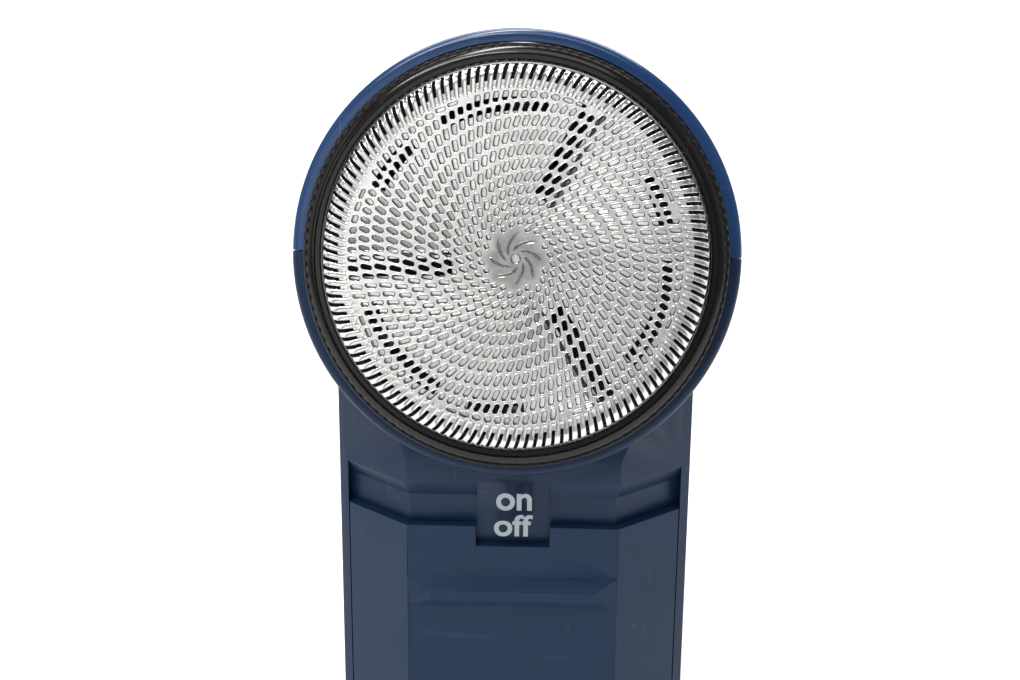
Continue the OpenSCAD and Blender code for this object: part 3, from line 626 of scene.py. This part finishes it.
# %% Boss and swirl
# Boss rings with painted shade: dark round its foot, grey on its top, light only on its crest.
BOSS_LEVELS = [(0.18 * MM, 0.0, 0.0), (0.12 * MM, -0.03 * MM, 1.0), (0.04 * MM, 0.08 * MM, 0.0),
               (-0.08 * MM, 0.03 * MM, 0.8), (-0.12 * MM, 0.03 * MM, 0.3)]
ARM_FROM = 1.1
ARM_TO = 3.9
ARM_HALF = 0.54
ARM_CURL = 100.0
ARM_STEPS = 12
ARM_EASE = 0.35
ARM_AHEAD = 40
TIP_W, TIP_RATE = 0.15, 5
BOSS_SIZE = 1.25 * MM
# Across each rib: position, height and painted shade, dark on the sides and full colour on the crests.
ARM_ACROSS = [(-1.0, 0.0, SHEET_SHADE), (-0.9, -0.05, 1.0), (-0.7, 0.08, 0.0), (-0.44, 0.0, 0.9),
              (0.0, 0.0, 0.3), (0.44, 0.0, 0.9), (0.7, 0.08, 0.0), (0.9, -0.05, 1.0), (1.0, 0.0, SHEET_SHADE)]


def swirl_arm(bm, start):
    """A curved rib with raised edges and pointed ends, drawn on a small grid and laid on the sheet."""
    sides = len(ARM_ACROSS) - 1
    grid = bmesh.ops.create_grid(bm, x_segments=ARM_STEPS, y_segments=sides, size=0.5)
    for vert in grid["verts"]:
        run = vert.co.x + 0.5
        side, rise, vert[painted_shade] = ARM_ACROSS[round((vert.co.y + 0.5) * sides)]
        radius = ARM_FROM + (ARM_TO - ARM_FROM) * run
        taper = min(1.0, TIP_W + TIP_RATE * run, TIP_W + TIP_RATE * (1 - run))
        half = ARM_HALF * (0.5 + 0.5 * run) * taper
        angle = math.radians(start - ARM_CURL * (run - ARM_EASE * run * run)) + side * half / radius
        vert.co = Vector((radius * math.cos(angle), radius * math.sin(angle), rise * taper)) * MM
        # The rib's ends take the sheet's painted shade.
        if run < 0.01 or run > 0.99:
            vert[painted_shade] = SHEET_SHADE


for arm in range(ROWS):
    swirl_arm(foil, ROW_START + SECTOR * arm + ARM_AHEAD)
boss_template = ring_template(BOSS_LEVELS, closed=True)
stamp(foil, boss_template, BOSS_LEVELS, Vector((0, 0)), 0.0, BOSS_SIZE, BOSS_SIZE)

# %% [markdown]
# ## The foil: slots over the shoulder
# Round the edge, slots run over the rounded shoulder so that the blades also cut sideways. One pitch of
# this belt is drawn flat as a small grid, the slot's faces are deleted, the grid is bent over the
# shoulder, and the whole is repeated by spinning duplicates. Neighbours share their sides, so merging
# doubles makes one sheet.

# %% Shoulder belt
SLOTS = 128
SHOULDER = 1.6 * MM
FLANGE_W = 1.4 * MM
FACE_EDGE = 25.2 * MM
SLOT_LEAN = math.tan(math.radians(16))
foil_r = flange_r - FLANGE_W
flat_run = foil_r - SHOULDER - FACE_EDGE
arc_run = SHOULDER * math.pi / 2
skirt_run = foil_top - SHOULDER - foil_low
SLOT_FROM = 0.3 * MM
SLOT_TO = flat_run + arc_run + 0.9 * MM

SLOT_SIDES, CREST_SIDES = (3, 5), (2, 6)
SLOT_ROUND = 0.16
across_steps = [-0.5, -0.36, -0.27, -0.2, 0.0, 0.2, 0.27, 0.36, 0.5]
along_steps = [0.0, SLOT_FROM, SLOT_FROM + 0.3 * MM, flat_run * 0.62, flat_run]
along_steps += [flat_run + arc_run * k / 5 for k in range(1, 6)]
along_steps += [SLOT_TO - 0.3 * MM, SLOT_TO, flat_run + arc_run + skirt_run,
                flat_run + arc_run + skirt_run + FLANGE_W]


def over_shoulder(run, lift):
    """Radius and height of a point along the belt, lifted off the surface."""
    if run <= flat_run:
        return FACE_EDGE + run, lift
    if run <= flat_run + arc_run:
        bend_angle = (run - flat_run) / SHOULDER
        reach = SHOULDER + lift
        return foil_r - SHOULDER + reach * math.sin(bend_angle), reach * math.cos(bend_angle) - SHOULDER
    down = run - flat_run - arc_run
    if down <= skirt_run + 1e-9:
        return foil_r + lift, -SHOULDER - down
    return foil_r + down - skirt_run, -SHOULDER - skirt_run


belt = bmesh.new()
bmesh.ops.create_grid(belt, x_segments=len(across_steps) - 1, y_segments=len(along_steps) - 1, size=0.5)
cols, rows = len(across_steps) - 1, len(along_steps) - 1
for vert in belt.verts:
    vert.co = (round((vert.co.x + 0.5) * cols), round((vert.co.y + 0.5) * rows), 0)
slot_rows = (along_steps.index(SLOT_FROM), along_steps.index(SLOT_TO))
in_slot = [f for f in belt.faces
           if SLOT_SIDES[0] < f.calc_center_median().x < SLOT_SIDES[1]
           and slot_rows[0] < f.calc_center_median().y < slot_rows[1]]
bmesh.ops.delete(belt, geom=in_slot, context="FACES")
for vert in belt.verts:
    col, row = int(vert.co.x), int(vert.co.y)
    run = along_steps[row]
    slotted = slot_rows[0] <= row <= slot_rows[1]
    lift = RIM_RISE * 0.8 if slotted and col in CREST_SIDES else 0.0
    if col in SLOT_SIDES and row in slot_rows:
        run += (SLOT_ROUND if row == slot_rows[0] else -SLOT_ROUND) * MM
    radius, height = over_shoulder(run, lift)
    turn = 2 * math.pi * across_steps[col] / SLOTS - SLOT_LEAN * min(run, SLOT_TO) / foil_r
    vert.co = (radius * math.cos(turn), radius * math.sin(turn), height)
bmesh.ops.spin(belt, geom=belt.verts[:] + belt.edges[:] + belt.faces[:], cent=(0, 0, 0), axis=(0, 0, 1),
               angle=2 * math.pi * (SLOTS - 1) / SLOTS, steps=SLOTS - 1, use_duplicate=True)
bmesh.ops.remove_doubles(belt, verts=belt.verts[:], dist=0.002 * MM)
belt_mesh = bpy.data.meshes.new("belt")
belt.to_mesh(belt_mesh)
belt.free()
foil.from_mesh(belt_mesh)
print("belt faces:", len(belt_mesh.polygons))

# %% [markdown]
# ## The foil: filling the sheet between the rims
# All the rim feet and the belt's inner edge lie in one plane, as loops inside a loop. A constrained
# Delaunay triangulation fills what lies between them. A triangle whose corners all belong to one stamp
# lies inside a hole, and is left out. A Solidify modifier then gives the sheet its thickness, downwards,
# so the rims stay the highest points. The whole sheet is set lower by their height. A known fault: its
# lowest level lies 0.1 mm below the top of the cutter cup, so the two meshes cut into each other at rest.

# %% Fill and thicken
SHEET = 0.12 * MM
INSIDE_LOOPS = 1
SAME_POINT = 1e-5


def lies_flat(edge):
    """True for an open edge in the plane of the face."""
    return edge.is_boundary and all(abs(v.co.z) < 1e-7 and v.co.xy.length < FACE_EDGE + 1e-6
                                    for v in edge.verts)


face_loops = [e for e in foil.edges if lies_flat(e)]
rim_verts = sorted({v for e in face_loops for v in e.verts}, key=lambda v: v.index)
order = {vert: index for index, vert in enumerate(rim_verts)}
filled = delaunay_2d_cdt([v.co.xy / MM for v in rim_verts], [[order[v] for v in e.verts] for e in face_loops],
                         [], INSIDE_LOOPS, SAME_POINT)
sheet_corners = [rim_verts[sources[0]] for sources in filled[3]]
for triangle in filled[2]:
    three = [sheet_corners[index] for index in triangle]
    if len({vert[stamped] for vert in three}) > 1 or three[0][stamped] == 0:
        foil.faces.new(three)
print("sheet triangles:", len(filled[2]), "crossings:", len(filled[0]) - len(rim_verts))


def sheet_outward(place):
    """Up on the face, and up and outwards round the shoulder."""
    return Vector((0, 0, 1)) if place.xy.length < FACE_EDGE else Vector((place.x, place.y, place.xy.length))


foil_piece = make_piece(foil, "foil_sheet", "foil", HEAD @ Matrix.Translation((0, 0, foil_top - RIM_RISE)),
                        corner=math.radians(24), outward=sheet_outward)
thick = foil_piece.modifiers.new("thickness", "SOLIDIFY")
thick.thickness = SHEET
thick.offset = -1.0

# %% [markdown]
# ## The retaining ring
# A glossy black ring is turned from one profile: a groove beside the foil, a raised cone that catches
# the light, and a lower outer step. On the step sits a circle of fine grip marks, which a thumbnail needs
# when the ring is twisted off to brush out the blades.

# %% Ring profile, spun once round
RING_SIDES_ROUND = 192
lip_r = foil_r + 0.35 * MM
skirt_r = ring_r - 0.9 * MM + 0.15 * MM
lip_low = foil_low + 0.4 * MM
GROOVE = ring_top - 0.85 * MM
CONE_R, STEP_R = ring_r - 1.6 * MM, ring_r - 0.62 * MM
CONE_FALL = 0.5 * MM
STEP = ring_top - 1.15 * MM

profile = [(lip_r, lip_low), (lip_r, GROOVE + 0.12 * MM), (lip_r + 0.14 * MM, GROOVE + 0.2 * MM)]
profile += [(lip_r + 0.3 * MM, GROOVE), (CONE_R - 0.2 * MM, GROOVE)]
profile += [(CONE_R - 0.14 * MM, ring_top - 0.16 * MM)]
profile += [(CONE_R - 0.05 * MM, ring_top - 0.02 * MM), (CONE_R + 0.08 * MM, ring_top - 0.02 * MM)]
profile += [(STEP_R - 0.08 * MM, ring_top - CONE_FALL)]
profile += [(STEP_R, ring_top - CONE_FALL - 0.1 * MM), (STEP_R, STEP)]
profile += [(ring_r - 0.12 * MM, STEP), (ring_r, STEP - 0.12 * MM)]
profile += [(ring_r, ring_low), (skirt_r, ring_low), (skirt_r, lip_low), (lip_r, lip_low)]

ring = bmesh.new()
points = [ring.verts.new((radius, 0, height)) for radius, height in profile]
path = [ring.edges.new(pair) for pair in zip(points, points[1:])]
bmesh.ops.spin(ring, geom=points + path, cent=(0, 0, 0), axis=(0, 0, 1), angle=2 * math.pi,
               steps=RING_SIDES_ROUND, use_merge=True, use_duplicate=False)
bmesh.ops.remove_doubles(ring, verts=ring.verts[:], dist=0.0005 * MM)

# %% Grip marks round the step
MARKS = 118
MARK_R = (STEP_R + ring_r) / 2
MARK_SIZE = (0.4 * MM, 0.8 * MM, 0.6 * MM)
MARK_ROUND = 0.12 * MM
MARK_LIFT = 0.1 * MM
mark = bmesh.new()
bmesh.ops.create_cube(mark, size=1.0)
bmesh.ops.scale(mark, verts=mark.verts[:], vec=MARK_SIZE)
bmesh.ops.bevel(mark, geom=mark.edges[:], offset=MARK_ROUND, affect="EDGES", segments=2, profile=0.5,
                material=-1)
bmesh.ops.translate(mark, verts=mark.verts[:], vec=(MARK_R, 0, STEP + MARK_LIFT))
bmesh.ops.spin(mark, geom=mark.verts[:] + mark.edges[:] + mark.faces[:], cent=(0, 0, 0), axis=(0, 0, 1),
               angle=2 * math.pi * (MARKS - 1) / MARKS, steps=MARKS - 1, use_duplicate=True)
mark_mesh = bpy.data.meshes.new("marks")
mark.to_mesh(mark_mesh)
mark.free()
ring.from_mesh(mark_mesh)
make_piece(ring, "retaining_ring_turned", "retaining_ring", HEAD, corner=math.radians(40))

# %% [markdown]
# ## Housing, slider, container and doors
# These already have their right shape in the frame. A real moulding has no knife edges, so each gets a
# merged copy, cleaned of needless triangles, with its edges rounded by a Bevel modifier.

# %% Rounded copies
MERGE = 0.002 * MM
FLAT = math.radians(0.5)
ROUND_FROM = math.radians(25)


def rounded_copy(node, width, segments=2, corner=CORNER, cut=False):
    """A copy of a frame node with merged vertices, plain flats and rounded edges. Cut splits the flats
    into triangles again, for a piece with a flat whose corner is a sliver narrower than the rounding."""
    bm = bmesh.new()
    bm.from_mesh(frame["nodes"][node].data)
    bmesh.ops.remove_doubles(bm, verts=bm.verts[:], dist=MERGE)
    bmesh.ops.dissolve_limit(bm, angle_limit=FLAT, verts=bm.verts[:], edges=bm.edges[:])
    if cut:
        bmesh.ops.triangulate(bm, faces=bm.faces[:])
    piece = make_piece(bm, node + "_moulded", node, corner=corner)
    soft = piece.modifiers.new("rounding", "BEVEL")
    soft.width = width
    soft.segments = segments
    soft.limit_method = "ANGLE"
    soft.angle_limit = ROUND_FROM
    soft.harden_normals = True
    return piece


rounded_copy("front_housing", 0.3 * MM)
rounded_copy("rear_housing", 0.3 * MM)
rounded_copy("lint_container", 0.15 * MM)
rounded_copy("thumb_slider", 0.12 * MM, corner=math.radians(6), cut=True)
rounded_copy("battery_door", 0.2 * MM)
rounded_copy("blade_carrier", 0.05 * MM, segments=1)

# %% [markdown]
# ## The printed words
# In and above the slider's notch stand two plain words in light grey ink, for the slider's two places. They
# are made as text, turned into a thin mesh, and bent to the tongue's slope: the upper one along the slope,
# the lower one across its foot. A known fault: front_y comes from the box of the whole front shell, whose
# foremost point is the leaning head. So the words stand 2.2 mm in front of the surface.

# %% Words along the tongue
front_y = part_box("front_housing")[0].y
TRAVEL = joints["slider_travel"]["range_m"][1]
slider_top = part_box("thumb_slider")[1].z
RECESS = 1.65 * MM
SLOPE_FROM = 1.0 * MM
SLOPE_TO = 2.9 * MM
recess_y = front_y + RECESS
slope_low = slider_top + SLOPE_FROM
slope_high = slider_top + TRAVEL + SLOPE_TO
INK = 0.03 * MM
LETTER_WEIGHT = 0.022


def surface_y(height):
    """The y of the letters at a height: the shape of the slope, counted from front_y."""
    share = min(1.0, max(0.0, (height - slope_low) / (slope_high - slope_low)))
    return recess_y + (front_y - recess_y) * share


def print_word(word, middle_x, low, width, tall):
    """Letters as a thin mesh that is bent to the slope."""
    curve = bpy.data.curves.new(word, "FONT")
    curve.body = word
    curve.offset = LETTER_WEIGHT
    curve.align_x = "CENTER"
    text = bpy.data.objects.new(word, curve)
    bpy.context.scene.collection.objects.link(text)
    bpy.context.view_layer.update()
    mesh = bpy.data.meshes.new_from_object(text.evaluated_get(bpy.context.evaluated_depsgraph_get()))
    bpy.data.objects.remove(text)
    bm = bmesh.new()
    bm.from_mesh(mesh)
    bmesh.ops.remove_doubles(bm, verts=bm.verts[:], dist=1e-5)
    xs = [v.co.x for v in bm.verts]
    ys = [v.co.y for v in bm.verts]
    grow_x, grow_y = width / (max(xs) - min(xs)), tall / (max(ys) - min(ys))
    for vert in bm.verts:
        across = (vert.co.x - (min(xs) + max(xs)) / 2) * grow_x + middle_x
        vert.co = (across, 0, (vert.co.y - min(ys)) * grow_y + low)
    bmesh.ops.bisect_plane(bm, geom=bm.verts[:] + bm.edges[:] + bm.faces[:], plane_co=(0, 0, slope_low),
                           plane_no=(0, 0, 1))
    sheet = bmesh.ops.extrude_face_region(bm, geom=bm.faces[:])
    top = {g for g in sheet["geom"] if isinstance(g, bmesh.types.BMVert)}
    for vert in bm.verts:
        vert.co.y = surface_y(vert.co.z) - (INK if vert in top else -INK)
    piece = make_piece(bm, "word_" + word, "front_housing", stands_for=False)
    piece.data.materials.clear()
    piece.data.materials.append(PRINT)
    return piece


PRINT = plastic("printed_ink", (0.34, 0.38, 0.41), (0.5, 0.53, 0.55), rough=(0.5, 0.62), strength=0.3)
print_word("on", 0.2 * MM, slider_top + 3.6 * MM, 5.5 * MM, 3.5 * MM)
print_word("off", 0.1 * MM, slider_top - 1.35 * MM, 6.0 * MM, 4.1 * MM)
